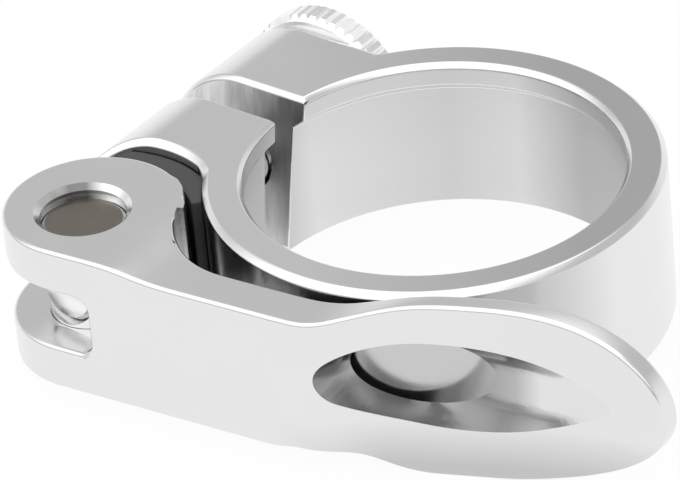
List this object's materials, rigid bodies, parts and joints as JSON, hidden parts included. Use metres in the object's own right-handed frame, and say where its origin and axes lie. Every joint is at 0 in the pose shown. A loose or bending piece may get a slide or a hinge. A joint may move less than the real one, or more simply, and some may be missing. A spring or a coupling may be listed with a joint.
{
  "type": "quick-release seatpost clamp",
  "caption": "Split collar that clamps a seat tube on a seatpost, with a cam lever, a black saddle washer, a through stud and a ribbed adjusting nut.",
  "frame": {"origin": "on the bore's axis, in the plane of the collar's lower rim", "axes": "+Z along the bore towards the lip and the seatpost, +Y out through the slot, +X along the bolt from the lever to the nut"},
  "size_m": [0.0424, 0.0569, 0.0155],
  "materials": {
    "polished_aluminium": "polished silver",
    "plated_steel": "plated, slightly worn",
    "black_plastic": "satin black"
  },
  "bodies": {
    "clamp": {"collar": "polished_aluminium", "cam_saddle": "black_plastic"},
    "bolt": {"stud": "plated_steel", "barrel_pin": "plated_steel"},
    "lever": {"lever": "polished_aluminium"},
    "nut": {"knurled_nut": "polished_aluminium"}
  },
  "joints": [
    {"name": "bolt_slide", "type": "slide", "parent": "clamp", "child": "bolt", "axis": [1, 0, 0], "range_m": [0, 0.00095]},
    {"name": "lever_swing", "type": "hinge", "parent": "bolt", "child": "lever", "pos_m": [-0.01815, 0.0204, 0.0069], "axis": [0, 0, -1], "range_deg": [0, 180]},
    {"name": "nut_turn", "type": "hinge", "parent": "bolt", "child": "nut", "pos_m": [0.01205, 0.0204, 0.0069], "axis": [1, 0, 0], "continuous": true}
  ],
  "couplings": [
    {"joint": "bolt_slide", "follows": "lever_swing", "m_per_rad": 0.0003}
  ]
}
